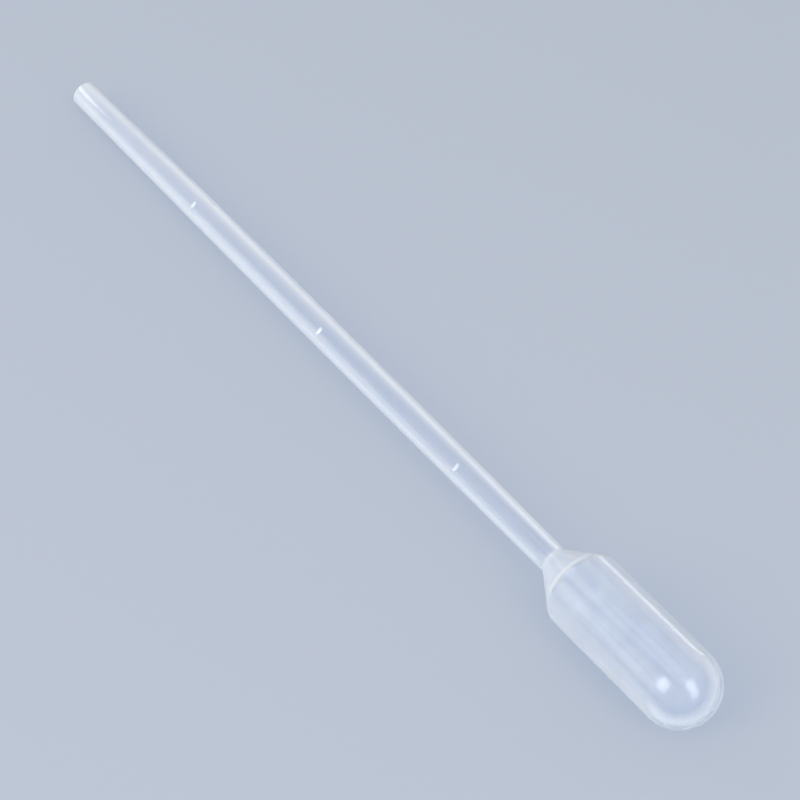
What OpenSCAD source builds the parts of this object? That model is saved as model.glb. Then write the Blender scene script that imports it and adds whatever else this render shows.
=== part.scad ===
// One-piece dropper pipette, blow moulded in soft clear polyethylene: a closed squeeze bulb,
// a conical shoulder and a long slim stem that is open at its tip. It lies on its side, as it
// comes to rest: the edge of the shoulder and the edge of the tip both touch the surface.

/* [Bulb] */
// Outside diameter of the squeeze bulb
bulb_d = 8.7; // [7.6:0.1:12]
// Length of the bulb between the shoulder and the dome
bulb_len = 15.5; // [6:0.5:30]
// Wall of the bulb between the shoulder and the dome
bulb_wall = 0.45; // [0.3:0.05:0.7]
// Wall at the closed end of the dome, where the plastic is thickest
dome_wall = 0.85; // [0.7:0.05:1.5]

/* [Shoulder] */
// Length of the cone between the stem and the bulb
shoulder_len = 4.6; // [3:0.1:8]
// Rounding of the edge where the cone meets the bulb
shoulder_round = 1.2; // [0.8:0.1:1.6]
// Hollow rounding where the stem meets the cone
neck_round = 0.8; // [0.3:0.1:2]

/* [Stem] */
// Length of the stem, from the open tip to the shoulder
stem_len = 90.5; // [60:0.5:150]
// Outside diameter of the stem at the neck, under the shoulder
neck_d = 3.1; // [2.6:0.1:4]
// Outside diameter of the stem where it is widest, halfway along
middle_d = 3.4; // [2.6:0.1:4.4]
// Wall of the stem
stem_wall = 0.55; // [0.3:0.05:0.8]

/* [Tip] */
// Outside diameter of the straight tip
tip_d = 3.1; // [2.6:0.1:4]
// Bore of the straight tip
tip_bore_d = 2; // [1:0.1:2.2]
// Length of the straight tip
tip_len = 8; // [3:0.5:15]
// Rounding of the tip's outer edge
tip_round = 0.12; // [0.05:0.01:0.2]

/* [Graduations] */
// Number of raised graduation marks on the stem
mark_count = 3; // [1:1:3]
// Distance from the tip to the first mark, and from mark to mark
mark_pitch = 25; // [17:0.5:27]
// Length of a mark around the stem
mark_len = 0.9; // [0.4:0.1:2]
// Width of a mark along the stem
mark_width = 0.45; // [0.3:0.05:0.8]
// Height of a mark above the stem
mark_height = 0.12; // [0.05:0.01:0.15]
// Turn of the marks from the top of the lying stem, in degrees
mark_turn = 41; // [0:1:80]

/* [Parting line] */
// Width of the fine ridge that the two mould halves leave
seam_width = 0.14; // [0.1:0.02:0.3]
// Height of that ridge
seam_height = 0.04; // [0.02:0.01:0.1]

/* [Hidden] */
$fn = 96;
// Straight pieces that the gentle swell of the stem is drawn with
swell_steps = 8;
// The cavity's outline starts this far outside the tip, so that it opens the tip cleanly
overshoot = 1;

// The cone's slope from the axis, in degrees, and how far its two ends move for each mm that
// the wall's surface moves in or out
cone_slope = atan2((bulb_d - neck_d) / 2, shoulder_len);
end_shift = tan(cone_slope / 2);
// Straight stretch of the neck that its rounding runs out on, inside and outside
neck_straight = neck_round + stem_wall;
swell_start = tip_len;
swell_end = stem_len - neck_straight;
shoulder_end = stem_len + shoulder_len;
dome_start = shoulder_end + bulb_len;

// Lying on its side, the stem's axis climbs to the bulb at the slope of the line that touches
// both rounded edges, the tip's and the shoulder's
edge_run = shoulder_end + shoulder_round * end_shift - tip_round;
edge_rise = (bulb_d / 2 - shoulder_round) - (tip_d / 2 - tip_round);
lying_slope = atan2(edge_rise, edge_run)
    + asin((shoulder_round - tip_round) / norm([edge_run, edge_rise]));
tip_lift = (tip_d / 2 - tip_round) * cos(lying_slope) + tip_round * (1 - sin(lying_slope));
low_end = tip_round * (cos(lying_slope) - 1) - (tip_d / 2 - tip_round) * sin(lying_slope);
high_end = dome_start * cos(lying_slope) + bulb_d / 2 + seam_height;

// Radius of the stem at height s: a smooth curve through its tip, middle and neck radii
function stem_radius(s, tip, middle, neck) =
    let (u = (s - swell_start) / (swell_end - swell_start))
    2 * tip * (u - 0.5) * (u - 1) + 4 * middle * u * (1 - u) + 2 * neck * u * (u - 0.5);

// Half outline of the pipette, radius by height, with its stem and its bulb each grown by a
// distance: none for the outside, the wall's thickness inwards for the cavity
module outline(tip, stem_grow, bulb_grow, dome_at, start) {
    middle = middle_d / 2 + stem_grow;
    neck = neck_d / 2 + stem_grow;
    bulb = bulb_d / 2 + bulb_grow;
    join = stem_len - stem_grow * end_shift;
    corner = shoulder_end - bulb_grow * end_shift;
    hollow = neck_round - stem_grow;
    round = shoulder_round + bulb_grow;
    slope = atan2(bulb - neck, corner - join);
    along = [sin(slope), cos(slope)];
    hollow_run = hollow * tan(slope / 2);
    round_run = round * tan(slope / 2);
    swell = [
        for (i = [0 : swell_steps])
            let (s = swell_start + (swell_end - swell_start) * i / swell_steps)
            [stem_radius(s, tip, middle, neck), s]
    ];
    difference() {
        polygon(concat(
            [[0, start], [tip, start]],
            swell,
            [
                [neck, join - hollow_run],
                [neck, join] + hollow_run * along,
                [bulb, corner] - round_run * along,
                [bulb, corner + round_run],
                [bulb, dome_at],
                [0, dome_at],
            ]
        ));
        translate([neck + hollow, join - hollow_run]) circle(hollow);
    }
    translate([bulb - round, corner + round_run]) circle(round);
    intersection() {
        translate([0, dome_at]) circle(bulb);
        translate([0, dome_at - bulb]) square(2 * bulb);
    }
}

// The rounded edge around the tip's open end, as the sliver that it takes away
module tip_edge() {
    translate([tip_d / 2 - tip_round, 0]) difference() {
        square(tip_round);
        translate([0, tip_round]) circle(tip_round);
    }
}

module outside() {
    rotate_extrude() difference() {
        outline(tip_d / 2, 0, 0, dome_start, 0);
        tip_edge();
    }
}

// The bore, the cone and the bulb's hollow in one, with its dome held back for the thick end
module cavity() {
    rotate_extrude()
        outline(tip_bore_d / 2, -stem_wall, -bulb_wall,
            dome_start - (dome_wall - bulb_wall), -overshoot);
}

// The ridge runs along both sides and over the dome, and stops short of the straight tip
module parting_line() {
    grown = bulb_d / 2 + seam_height;
    intersection() {
        rotate([90, 0, 0]) linear_extrude(seam_width, center = true) {
            outline(tip_d / 2 + seam_height, seam_height, seam_height, dome_start, 0);
            mirror([1, 0])
                outline(tip_d / 2 + seam_height, seam_height, seam_height, dome_start, 0);
        }
        translate([-grown, -seam_width, tip_len])
            cube([2 * grown, 2 * seam_width, dome_start + grown - tip_len]);
    }
}

// A raised bar with a rounded crest, part of the way around the stem at height s
module mark(s) {
    r = stem_radius(s, tip_d / 2, middle_d / 2, neck_d / 2);
    crest = (pow(mark_width / 2, 2) + pow(mark_height, 2)) / (2 * mark_height);
    sweep = mark_len / r * 180 / PI;
    rotate([0, 0, -sweep / 2])
        rotate_extrude(angle = sweep)
            translate([r + mark_height - crest, s]) circle(crest);
}

// One closed skin with no joint in it: the mould's marks and ridge are part of the same wall
module pipette() {
    color([0.84, 0.9, 0.95, 0.6])
        translate([-(low_end + high_end) / 2, 0, tip_lift])
            rotate([0, 90 - lying_slope, 0])
                rotate([0, 0, 180 + mark_turn])
                    difference() {
                        union() {
                            outside();
                            rotate([0, 0, 90]) parting_line();
                            for (i = [1 : mark_count]) mark(i * mark_pitch);
                        }
                        cavity();
                    }
}

pipette();
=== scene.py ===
import math

import bmesh
import bpy
from mathutils import Matrix, Vector


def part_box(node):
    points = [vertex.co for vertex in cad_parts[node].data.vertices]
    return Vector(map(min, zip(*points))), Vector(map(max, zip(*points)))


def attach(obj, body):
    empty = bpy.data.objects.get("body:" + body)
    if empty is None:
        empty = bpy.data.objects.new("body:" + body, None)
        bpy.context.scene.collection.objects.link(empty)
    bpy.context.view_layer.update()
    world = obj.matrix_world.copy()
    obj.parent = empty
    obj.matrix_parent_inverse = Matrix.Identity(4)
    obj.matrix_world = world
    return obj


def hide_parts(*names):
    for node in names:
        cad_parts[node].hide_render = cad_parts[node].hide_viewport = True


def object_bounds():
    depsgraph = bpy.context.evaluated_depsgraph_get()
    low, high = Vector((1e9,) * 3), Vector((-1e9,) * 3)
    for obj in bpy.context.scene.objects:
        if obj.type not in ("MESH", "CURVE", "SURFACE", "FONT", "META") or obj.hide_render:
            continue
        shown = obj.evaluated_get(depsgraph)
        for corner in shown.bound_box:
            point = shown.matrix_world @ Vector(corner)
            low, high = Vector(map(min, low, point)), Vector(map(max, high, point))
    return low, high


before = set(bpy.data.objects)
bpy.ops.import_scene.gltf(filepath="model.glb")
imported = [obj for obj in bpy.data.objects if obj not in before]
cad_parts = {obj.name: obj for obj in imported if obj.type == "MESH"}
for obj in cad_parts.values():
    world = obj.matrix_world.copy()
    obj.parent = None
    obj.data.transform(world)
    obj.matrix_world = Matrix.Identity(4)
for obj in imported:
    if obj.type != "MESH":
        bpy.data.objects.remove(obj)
cad_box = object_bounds()
cad_low, cad_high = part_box("pipette")

# The dropper pipette is one hollow piece, blow moulded from natural low-density polyethylene: a
# soft bulb, a conical shoulder and a stem that is open at its tip. Its wall is drawn standing up,
# in mm, as one line down the outside and up the inside, and that line is spun round the axis.

mm = 0.001
bulb_d, bulb_len, bulb_wall, dome_wall = 8.7, 15.5, 0.45, 0.85
shoulder_len, shoulder_round, neck_round = 4.6, 1.2, 0.8
stem_len, neck_d, middle_d, stem_wall = 90.5, 3.1, 3.4, 0.55
tip_d, tip_bore_d, tip_len, tip_round, bore_round = 3.1, 2.0, 8.0, 0.12, 0.05
mark_heights, mark_turn = (25.0, 50.0, 75.0), 41.0
mark_len, mark_width, mark_rise, mark_end = 0.9, 0.45, 0.12, 0.05
seam_width, seam_rise = 0.14, 0.04
spin_steps, stem_steps, bulb_steps = 256, 24, 10
tip_steps, bore_steps, neck_steps, shoulder_steps, dome_steps = 5, 4, 8, 10, 24
same_place = 1e-7
same_row = 1e-3

cone_slope = math.atan2((bulb_d - neck_d) / 2, shoulder_len)
end_shift = math.tan(cone_slope / 2)
swell_end = stem_len - neck_round - stem_wall
shoulder_end = stem_len + shoulder_len
dome_start = shoulder_end + bulb_len
inner_dome = dome_start - dome_wall + bulb_wall
stem_rows = [tip_len + (swell_end - tip_len) * i / stem_steps for i in range(stem_steps + 1)]
raised_offsets = [mark_width / 2 * share for share in (0, 0.3, 0.6, 0.85)]
mark_offsets = raised_offsets + [mark_width / 2 * share for share in (1, 1.2)]
mark_rows = [m + side * off for m in mark_heights for off in mark_offsets for side in (-1, 1)]
plain_rows = [h for h in stem_rows if all(abs(h - m) > mark_width for m in mark_heights)]
outer_rows = sorted({*plain_rows, tip_len + seam_width, *mark_rows})
pen = Vector((tip_d / 2 - tip_round, 0, 0)) * mm
tip_edge = pen.copy()


def line_to(radius, height):
    """Carries the wall's line on to a point, by extruding its last point."""
    target = Vector((radius, 0, height)) * mm
    bpy.ops.mesh.extrude_vertices_move(TRANSFORM_OT_translate={"value": target - pen})
    pen[:] = target


def arc(radius, height, turn, steps):
    """Carries the line on round a centre, by spinning its last point."""
    centre = Vector((radius, 0, height)) * mm
    bpy.ops.mesh.spin(steps=steps, angle=-turn, center=centre, axis=(0, 1, 0))
    pen[:] = centre + Matrix.Rotation(turn, 3, "Y") @ (pen - centre)


def stem_radius(height, tip, middle, neck):
    """Radius of the stem at a height: a smooth curve through its tip, middle and neck."""
    u = (height - tip_len) / (swell_end - tip_len)
    return 2 * tip * (u - 0.5) * (u - 1) + 4 * middle * u * (1 - u) + 2 * neck * u * (u - 0.5)


def draw_up(tip, stem_grow, bulb_grow, dome_at, rows):
    """Draws one side of the wall, from the straight tip up to the top of the dome."""
    middle, neck, bulb = middle_d / 2 + stem_grow, neck_d / 2 + stem_grow, bulb_d / 2 + bulb_grow
    join, corner = stem_len - stem_grow * end_shift, shoulder_end - bulb_grow * end_shift
    slope = math.atan2(bulb - neck, corner - join)
    hollow, rounding = neck_round - stem_grow, shoulder_round + bulb_grow
    hollow_run, rounding_run = hollow * math.tan(slope / 2), rounding * math.tan(slope / 2)
    bulb_foot = corner + rounding_run
    for height in rows:
        line_to(stem_radius(height, tip, middle, neck), height)
    line_to(neck, join - hollow_run)
    arc(neck + hollow, join - hollow_run, slope, neck_steps)
    line_to(bulb - rounding_run * math.sin(slope), corner - rounding_run * math.cos(slope))
    arc(bulb - rounding, bulb_foot, -slope, shoulder_steps)
    for step in range(1, bulb_steps + 1):
        line_to(bulb, bulb_foot + (dome_at - bulb_foot) * (step / bulb_steps))
    arc(0, dome_at, -math.pi / 2, dome_steps)


def pick(test, side=None):
    """Selects the points, of one side of the wall or of both, whose place in mm passes a test."""
    points = bmesh.from_edit_mesh(pipette.data)
    sides = points.verts.layers.deform.verify()
    for point in points.verts:
        here = side is None or pipette.vertex_groups[side].index in point[sides]
        point.select = here and test(point.co / mm)
    points.select_flush(True)
    points.select_flush(False)
    bmesh.update_edit_mesh(pipette.data)


def name_side(side):
    """Keeps the selected points as one side of the wall."""
    bpy.ops.object.vertex_group_assign_new()
    pipette.vertex_groups.active.name = side


bpy.ops.object.select_all(action="DESELECT")
bpy.ops.mesh.primitive_plane_add(size=mm, location=pen)
pipette = bpy.context.object
pipette.name = pipette.data.name = "moulded_pipette"
bpy.ops.object.transform_apply(location=True, rotation=True, scale=True)
bpy.ops.object.mode_set(mode="EDIT")
bpy.ops.mesh.select_mode(type="VERT")
bpy.ops.mesh.merge(type="CENTER")
arc(tip_d / 2 - tip_round, tip_round, -math.pi / 2, tip_steps)
draw_up(tip_d / 2, 0, 0, dome_start, outer_rows)
bpy.ops.mesh.select_all(action="SELECT")
name_side("outside")
pick(lambda place: (place * mm - tip_edge).length < same_place)
pen[:] = tip_edge
line_to(tip_bore_d / 2 + bore_round, 0)
arc(tip_bore_d / 2 + bore_round, bore_round, math.pi / 2, bore_steps)
draw_up(tip_bore_d / 2, -stem_wall, -bulb_wall, inner_dome, stem_rows)
bpy.ops.mesh.select_all(action="DESELECT")
bpy.ops.object.vertex_group_set_active(group="outside")
bpy.ops.object.vertex_group_select()
bpy.ops.mesh.select_all(action="INVERT")
name_side("inside")
bpy.ops.mesh.select_all(action="SELECT")
bpy.ops.mesh.spin(steps=spin_steps, angle=2 * math.pi, center=(0, 0, 0), axis=(0, 0, 1))
bpy.ops.mesh.select_all(action="SELECT")
bpy.ops.mesh.remove_doubles(threshold=same_place)
bpy.ops.mesh.normals_make_consistent(inside=False)

# The graduations are short bars with a rounded crest, cut into the mould and so raised from the
# stem: the plastic rises row by row to that crest, and a little less at the bar's two ends.

crest = ((mark_width / 2) ** 2 + mark_rise**2) / (2 * mark_rise)
for share, reach in ((0.6, mark_len / 2), (0.4, mark_len / 2 - mark_end)):
    for off in raised_offsets:
        pick(
            lambda place: place.x > 0
            and abs(math.atan2(place.y, place.x)) * place.xy.length < reach
            and any(abs(abs(place.z - m) - off) < same_row for m in mark_heights),
            "outside",
        )
        rise = math.sqrt(crest**2 - off**2) - crest + mark_rise
        bpy.ops.transform.shrink_fatten(value=share * rise * mm)

# The parting line is the fine ridge that the two halves of the mould leave along both sides and
# over the dome, square to the marks; it stops short of the straight tip.

ridge_start = tip_len + seam_width / 2
pick(lambda place: abs(place.x) < seam_width / 2 and place.z > ridge_start, "outside")
bpy.ops.transform.shrink_fatten(value=seam_rise * mm)
bpy.ops.object.mode_set(mode="OBJECT")

# A blown wall is never quite even: only its outside lies against the mould, and long soft waves
# run up its inside, where nothing held the plastic as it cooled.

wave_width, wave_len, wave_depth = 2.4, 30, 0.05
bpy.ops.object.empty_add(location=(0, 0, 0))
waves = bpy.context.object
waves.scale = (wave_width * mm, wave_width * mm, wave_len * mm)
unevenness = bpy.data.textures.new("blown wall waves", "CLOUDS")
unevenness.noise_scale = 1.0
unevenness.noise_depth = 1
bpy.ops.object.select_all(action="DESELECT")
pipette.select_set(True)
bpy.context.view_layer.objects.active = pipette
wave = pipette.modifiers.new("waves", "DISPLACE")
wave.texture = unevenness
wave.texture_coords = "OBJECT"
wave.texture_coords_object = waves
wave.vertex_group = "inside"
wave.strength = wave_depth * mm
bpy.ops.object.modifier_apply(modifier="waves")
bpy.data.objects.remove(waves)
bpy.ops.object.shade_smooth()

# Set down, it lies on its side: the edge of its tip and the edge of its shoulder both touch the
# floor, so its axis climbs a little to the bulb, and the marks are turned up to the front.

edge_run = shoulder_end + shoulder_round * end_shift - tip_round
edge_rise = (bulb_d / 2 - shoulder_round) - (tip_d / 2 - tip_round)
lying_slope = math.atan2(edge_rise, edge_run)
lying_slope += math.asin((shoulder_round - tip_round) / math.hypot(edge_run, edge_rise))
laid = Matrix.Rotation(math.pi / 2 - lying_slope, 4, "Y")
laid = laid @ Matrix.Rotation(math.pi + math.radians(mark_turn), 4, "Z")
places = [laid @ point.co for point in pipette.data.vertices]
own_low = Vector([min(place[i] for place in places) for i in range(3)])
own_high = Vector([max(place[i] for place in places) for i in range(3)])
laid = Matrix.Translation((cad_low + cad_high - own_low - own_high) / 2) @ laid
pipette.matrix_world = laid
bpy.ops.object.transform_apply(location=True, rotation=True, scale=True)
pipette.vertex_groups.clear()


def linear(code):
    """Turns an sRGB hex colour into the linear colour that a socket holds."""
    shares = [int(code[i : i + 2], 16) / 255 for i in (1, 3, 5)]
    return [s / 12.92 if s <= 0.04045 else ((s + 0.055) / 1.055) ** 2.4 for s in shares] + [1.0]


def add(tree, kind, inputs=(), **settings):
    """Adds a node with its settings. An input takes a value, a socket or a node's first output."""
    made = tree.nodes.new(kind)
    for name, value in settings.items():
        setattr(made, name, value)
    for socket, value in dict(inputs).items():
        if isinstance(value, bpy.types.Node):
            value = value.outputs[0]
        if isinstance(value, bpy.types.NodeSocket):
            tree.links.new(value, made.inputs[socket])
        else:
            made.inputs[socket].default_value = value
    return made


# Natural low-density polyethylene, blow moulded: clear enough to see the liquid through, with a
# milky haze that thickens where the wall is seen edge on, and a soft gloss from the mould. The
# sizes in it are real mm on the standing pipette, and milk is how much of it is haze; part of that
# milk is painted light: bright rims and lines along the edges, the dome's lip, and glints.

plastic = bpy.data.materials.new("moulded low-density polyethylene")
plastic.use_nodes = True
tree = plastic.node_tree
tree.nodes.clear()
stood = laid.inverted()
upright = {
    "Vector": add(tree, "ShaderNodeTexCoord").outputs["Object"],
    "Location": stood.translation / mm,
    "Rotation": stood.to_euler(),
    "Scale": (1 / mm, 1 / mm, 1 / mm),
}
upright = add(tree, "ShaderNodeMapping", upright)
place = add(tree, "ShaderNodeSeparateXYZ", {0: upright})
along = place.outputs["Z"]

# the outside and the inside of the wall are told apart by the radius halfway through it
over = add(tree, "ShaderNodeMath", {0: along, 1: dome_start}, operation="SUBTRACT")
over = add(tree, "ShaderNodeMath", {0: over, 1: 0.0}, operation="MAXIMUM")
spoke = {"X": place.outputs["X"], "Y": place.outputs["Y"], "Z": over}
spoke = add(tree, "ShaderNodeCombineXYZ", spoke)
spoke = add(tree, "ShaderNodeVectorMath", {0: spoke}, operation="LENGTH")
halfway = {
    "Value": along,
    "From Min": stem_len,
    "From Max": shoulder_end,
    "To Min": (neck_d - stem_wall) / 2,
    "To Max": (bulb_d - bulb_wall) / 2,
}
halfway = add(tree, "ShaderNodeMapRange", halfway)
outer = {0: spoke.outputs["Value"], 1: halfway}
outer = add(tree, "ShaderNodeMath", outer, operation="GREATER_THAN")
backfacing = add(tree, "ShaderNodeNewGeometry").outputs["Backfacing"]

# lines that the die draws up the parison, fading out on the dome, and cloudy patches of haze
line_spacing, line_climb, patch_size = 0.87, 0.015, 4.0
flat = add(tree, "ShaderNodeCombineXYZ", {"X": place.outputs["X"], "Y": place.outputs["Y"]})
around = add(tree, "ShaderNodeVectorMath", {0: flat}, operation="NORMALIZE")
climb = add(tree, "ShaderNodeMath", {0: along, 1: line_climb}, operation="MULTIPLY")
climb = add(tree, "ShaderNodeCombineXYZ", {"Z": climb})
drawn = add(tree, "ShaderNodeVectorMath", {0: around, 1: climb}, operation="ADD")
lines = {"Vector": drawn, "Scale": bulb_d / 2 / line_spacing, "Detail": 1.0, "Roughness": 0.4}
lines = add(tree, "ShaderNodeTexNoise", lines)
fade = {"Value": over, "From Max": 0.7 * bulb_d / 2, "To Min": 1.0, "To Max": 0.0}
fade = add(tree, "ShaderNodeMapRange", fade)
lines = add(tree, "ShaderNodeMix", {"Factor": fade, "A": 0.5, "B": lines})
streaks = {"Value": lines, "From Min": 0.35, "From Max": 0.65, "To Max": 0.09}
streaks = add(tree, "ShaderNodeMapRange", streaks)
patches = {"Vector": upright, "Scale": 1 / patch_size, "Detail": 3.0}
patches = add(tree, "ShaderNodeTexNoise", patches)
patches = {"Value": patches, "From Min": 0.3, "From Max": 0.7, "To Max": 0.09}
patches = add(tree, "ShaderNodeMapRange", patches)
cloud = add(tree, "ShaderNodeMath", {0: streaks, 1: patches}, operation="ADD")

# the bulb's wall is milkier the more it is seen edge on, up to its edge: partly real haze, partly
# a painted bright rim along its silhouette
facing = add(tree, "ShaderNodeLayerWeight", {"Blend": 0.5}).outputs["Facing"]
rim = {"Value": facing, "From Min": 0.1, "From Max": 0.85, "To Min": 0.28, "To Max": 0.84}
rim = add(tree, "ShaderNodeMapRange", rim, interpolation_type="SMOOTHSTEP")
# the thicker walls of the narrow stem and of the dome turn milky nearer to their middle, which
# also paints bright bands along the stem's sides
side = {"Value": facing, "From Min": 0.21, "From Max": 0.42, "To Min": 0.265, "To Max": 0.92}
side = add(tree, "ShaderNodeMapRange", side)
slim = {
    "Value": along,
    "From Min": stem_len - 1.5,
    "From Max": stem_len + 0.5,
    "To Min": 1.0,
    "To Max": 0.0,
}
slim = add(tree, "ShaderNodeMapRange", slim)
rim = add(tree, "ShaderNodeMix", {"Factor": slim, "A": rim, "B": side})
# on the dome that haze ends short of the edge, where the light passes through the thick end alone,
# and a painted bright line, the lip, follows the edge itself in place of the light the thick end
# bends
ends = {"Value": facing, "From Min": 0.47, "From Max": 0.6, "To Min": 0.92, "To Max": 0.6}
ends = add(tree, "ShaderNodeMapRange", ends, interpolation_type="SMOOTHSTEP")
painted_lip_line = {"Value": facing, "From Min": 0.66, "From Max": 0.8, "To Max": 0.5}
painted_lip_line = add(tree, "ShaderNodeMapRange", painted_lip_line)
ends = add(tree, "ShaderNodeMath", {0: ends, 1: painted_lip_line}, operation="ADD")
ends = add(tree, "ShaderNodeMath", {0: ends, 1: side}, operation="MINIMUM")
thick = add(tree, "ShaderNodeMapRange", {"Value": over, "From Max": 1.5, "To Max": 0.9})
rim = add(tree, "ShaderNodeMix", {"Factor": thick, "A": rim, "B": ends})
# the inside of the wall stays clearer, and is milky only close to its edge, where that milk draws
# the hollow's outline as a painted bright line
lining = {"Value": facing, "From Min": 0.35, "From Max": 1.0, "To Min": -0.02, "To Max": 0.9}
lining = add(tree, "ShaderNodeMapRange", lining, interpolation_type="SMOOTHSTEP")
edge_on = add(tree, "ShaderNodeMix", {"Factor": outer, "A": lining, "B": rim})
# seen through the plastic, the edge of the hollow gets a painted bright line: haze put at one
# facing value, standing in for the light the wall bends there
through = {0: backfacing, 1: outer}
through = add(tree, "ShaderNodeMath", through, operation="SUBTRACT", use_clamp=True)
painted_hollow_glint = add(tree, "ShaderNodeMath", {0: facing, 1: 0.255}, operation="SUBTRACT")
painted_hollow_glint = add(tree, "ShaderNodeMath", {0: painted_hollow_glint}, operation="ABSOLUTE")
painted_hollow_glint = {"Value": painted_hollow_glint, "From Max": 0.03, "To Min": 0.7, "To Max": 0.0}
painted_hollow_glint = add(tree, "ShaderNodeMapRange", painted_hollow_glint)
painted_hollow_glint = add(tree, "ShaderNodeMath", {0: painted_hollow_glint, 1: through}, operation="MULTIPLY")

# the cloud is faint on the stem, whose milk lies only on the skin that is seen from outside
even = add(tree, "ShaderNodeMath", {0: slim, 1: -0.8, 2: 1.0}, operation="MULTIPLY_ADD")
milk = {0: cloud, 1: even, 2: edge_on}
milk = add(tree, "ShaderNodeMath", milk, operation="MULTIPLY_ADD")
milk = add(tree, "ShaderNodeMath", {0: milk, 1: painted_hollow_glint}, operation="ADD", use_clamp=True)
skin = {0: outer, 1: backfacing}
skin = add(tree, "ShaderNodeMath", skin, operation="SUBTRACT", use_clamp=True)
skin = add(tree, "ShaderNodeMath", {0: skin, 1: milk}, operation="MULTIPLY")
milk = add(tree, "ShaderNodeMix", {"Factor": slim, "A": milk, "B": skin})
# the cut end of the tip and the thicker plastic of the neck and of the shoulder's edge are whiter;
# the shoulder's band is partly a painted highlight, the arc of light along its rounded edge
for height, spread, white in (
    (0.0, 0.2, 0.6),
    (stem_len + 0.3, 0.8, 0.15),
    (shoulder_end - 0.6, 0.5, 0.35),
):
    away = add(tree, "ShaderNodeMath", {0: along, 1: height}, operation="SUBTRACT")
    away = add(tree, "ShaderNodeMath", {0: away}, operation="ABSOLUTE")
    thickness_and_painted_arc = {"Value": away, "From Max": spread, "To Min": white, "To Max": 0.0}
    thickness_and_painted_arc = add(tree, "ShaderNodeMapRange", thickness_and_painted_arc, interpolation_type="SMOOTHSTEP")
    milk = add(tree, "ShaderNodeMath", {0: milk, 1: thickness_and_painted_arc}, operation="ADD", use_clamp=True)
# so are the ridge of the parting line and the three marks; the marks' white dots are partly
# painted glints
ridge = add(tree, "ShaderNodeMath", {0: place.outputs["X"]}, operation="ABSOLUTE")
ridge = {"Value": ridge, "From Min": 0.05, "From Max": 0.13, "To Min": 0.4, "To Max": 0.0}
ridge = add(tree, "ShaderNodeMapRange", ridge)
ridge = add(tree, "ShaderNodeMath", {0: ridge, 1: outer}, operation="MULTIPLY")
milk = add(tree, "ShaderNodeMath", {0: milk, 1: ridge}, operation="ADD", use_clamp=True)
for height in mark_heights:
    away = {0: upright, 1: (middle_d / 2, 0, height)}
    away = add(tree, "ShaderNodeVectorMath", away, operation="SUBTRACT")
    away = {0: away, 1: (mark_len, mark_len, 2 * mark_len)}
    away = add(tree, "ShaderNodeVectorMath", away, operation="MULTIPLY")
    away = add(tree, "ShaderNodeVectorMath", {0: away}, operation="LENGTH").outputs["Value"]
    mark_haze_and_painted_glint = {"Value": away, "From Min": 0.3, "From Max": 0.5, "To Min": 0.45, "To Max": 0.0}
    mark_haze_and_painted_glint = add(tree, "ShaderNodeMapRange", mark_haze_and_painted_glint, interpolation_type="SMOOTHSTEP")
    milk = add(tree, "ShaderNodeMath", {0: milk, 1: mark_haze_and_painted_glint}, operation="ADD", use_clamp=True)

# what isn't milky is clear, and the drawn lines show in the gloss as well
clear = {0: 1.0, 1: milk}
clear = add(tree, "ShaderNodeMath", clear, operation="SUBTRACT", use_clamp=True)
sheen = {"Value": lines, "From Min": 0.3, "From Max": 0.7, "To Min": 0.09, "To Max": 0.14}
sheen = add(tree, "ShaderNodeMapRange", sheen)
relief = {"Height": lines, "Strength": 0.15, "Distance": 0.02 * mm}
relief = add(tree, "ShaderNodeBump", relief)
body = {
    "Base Color": linear("#e4eaf5"),
    "Roughness": sheen,
    "IOR": 1.51,
    "Transmission Weight": clear,
    "Subsurface Weight": 1.0,
    "Subsurface Radius": (1.0, 1.1, 1.3),
    "Subsurface Scale": 1.0 * mm,
    "Normal": relief,
}
body = add(tree, "ShaderNodeBsdfPrincipled", body)
# light passes straight on to the floor, which a pale thin wall hardly shades
path = add(tree, "ShaderNodeLightPath").outputs
passed = add(tree, "ShaderNodeBsdfTransparent", {"Color": linear("#f5f8fc")})
surface = {0: path["Is Diffuse Ray"], 1: body, 2: passed}
surface = add(tree, "ShaderNodeMixShader", surface)
surface = {0: path["Is Shadow Ray"], 1: surface, 2: passed}
surface = add(tree, "ShaderNodeMixShader", surface)
add(tree, "ShaderNodeOutputMaterial", {"Surface": surface})
pipette.data.materials.append(plastic)

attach(pipette, "root")
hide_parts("pipette")

# The floor is one sheet of pale matt card, laid flat and wide enough to fill every view, so that
# the clear plastic has one even colour to show through it.

bpy.ops.object.select_all(action="DESELECT")
bpy.ops.mesh.primitive_plane_add(size=3.0, location=(0, 0, 0))
floor = bpy.context.object
floor.name = "studio_floor"
card = bpy.data.materials.new("matt card")
card.use_nodes = True
tree = card.node_tree
tree.nodes.clear()
matt = {"Base Color": linear("#c0c8d5"), "Roughness": 0.9, "Specular IOR Level": 0.2}
matt = add(tree, "ShaderNodeBsdfPrincipled", matt)
add(tree, "ShaderNodeOutputMaterial", {"Surface": matt})
floor.data.materials.append(card)

# Five softboxes stand a metre from the pipette and face it. Two large ones light it from the left
# and from the right of the camera; the others are weak or narrow, and draw the wall's edges.

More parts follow.
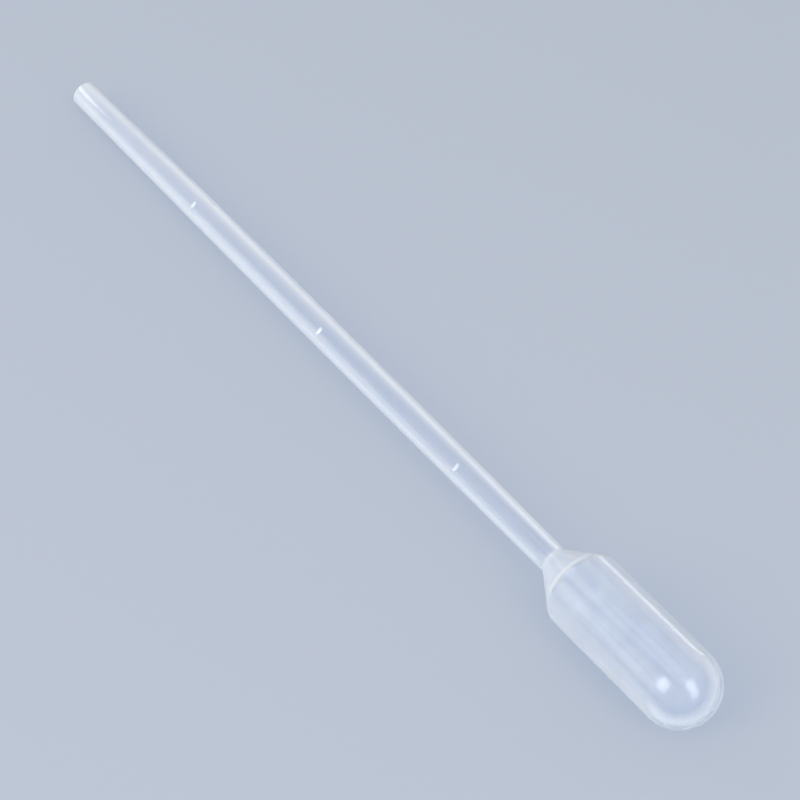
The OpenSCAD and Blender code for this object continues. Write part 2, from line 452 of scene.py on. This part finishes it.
lamp_distance = 1.0
middle = (cad_box[0] + cad_box[1]) / 2
for name, direction, sides, radiance in (
    ("softbox_left", (0.0, -0.82, 0.57), (0.5, 0.6), 4.6),
    ("softbox_right", (0.83, 0.045, 0.5525), (0.35, 0.8), 4.2),
    ("softbox_low", (-0.5, -0.84, 0.2), (0.5, 0.8), 0.75),
    ("softbox_rear", (-0.5, 0.86, 0.12), (0.5, 0.2), 1.6),
    ("softbox_back", (-0.85, -0.2, 0.48), (0.5, 0.2), 4.0),
):
    bpy.ops.object.light_add(type="AREA", location=middle + Vector(direction) * lamp_distance)
    lamp = bpy.context.object
    lamp.name = name
    lamp.rotation_euler = Vector(direction).to_track_quat("Z", "Y").to_euler()
    lamp.data.shape = "RECTANGLE"
    lamp.data.size, lamp.data.size_y = sides
    lamp.data.energy = radiance * math.pi * sides[0] * sides[1]

# The studio's walls are an even white. The camera, the gloss and what is seen through the plastic
# show them at full strength, and they light the pipette and the floor at about half of that.

wall_light = 0.48
sky = bpy.data.worlds.new("white studio")
bpy.context.scene.world = sky
sky.use_nodes = True
tree = sky.node_tree
tree.nodes.clear()
path = add(tree, "ShaderNodeLightPath").outputs
seen = {0: path["Is Glossy Ray"], 1: path["Is Transmission Ray"]}
seen = add(tree, "ShaderNodeMath", seen, operation="MAXIMUM")
seen = add(tree, "ShaderNodeMath", {0: seen, 1: path["Is Camera Ray"]}, operation="MAXIMUM")
strength = {"Value": seen, "To Min": wall_light, "To Max": 1.0}
strength = add(tree, "ShaderNodeMapRange", strength)
white = {"Color": linear("#f4f6fa"), "Strength": strength}
white = add(tree, "ShaderNodeBackground", white)
add(tree, "ShaderNodeOutputWorld", {"Surface": white})

# The camera looks down at the lying pipette from in front of its bulb, 46 degrees above the
# floor, with a long lens, and is aimed a little past its middle, towards the bulb.

camera_distance, past_middle = 0.368, 0.006
towards_camera = Vector((0.579, -0.394, 0.714)).normalized()
aim = middle + Vector((past_middle, 0, 0))
bpy.ops.object.camera_add(location=middle + towards_camera * camera_distance)
camera = bpy.context.object
camera.rotation_euler = (camera.location - aim).to_track_quat("Z", "Y").to_euler()
camera.data.lens = 157
camera.data.clip_start = 0.01
bpy.context.scene.camera = camera
bpy.context.scene.view_settings.view_transform = "Standard"
